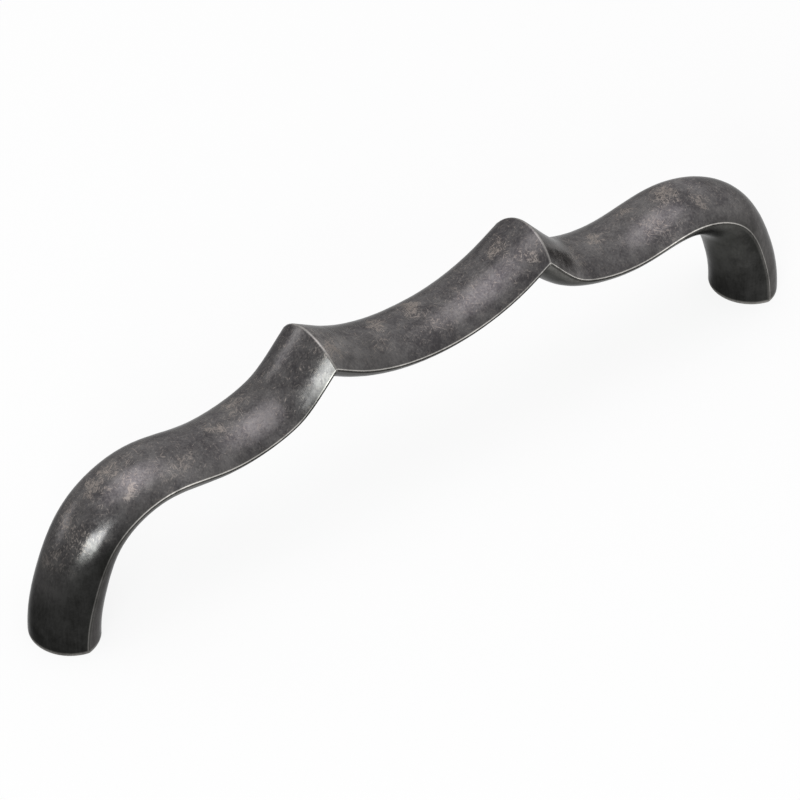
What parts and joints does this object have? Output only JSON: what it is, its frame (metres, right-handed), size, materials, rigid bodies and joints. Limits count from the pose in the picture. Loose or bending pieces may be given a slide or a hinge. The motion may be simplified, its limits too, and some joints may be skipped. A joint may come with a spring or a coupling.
{
  "type": "bar pull",
  "caption": "Cast bar pull with a waved, ridged grip on two lens-shaped feet, fixed by a screw into a blind tapped hole in each foot.",
  "frame": {"origin": "midway between the two feet, on the plane of their soles", "axes": "+X along the bar, +Z from the drawer front out through the grip, +Y across the bar"},
  "size_m": [0.138, 0.0124, 0.0327],
  "materials": {
    "antiqued_zinc": "dark antiqued casting, satin, with edges and high spots worn lighter"
  },
  "bodies": {
    "root": {"pull_casting": "antiqued_zinc"}
  },
  "joints": []
}
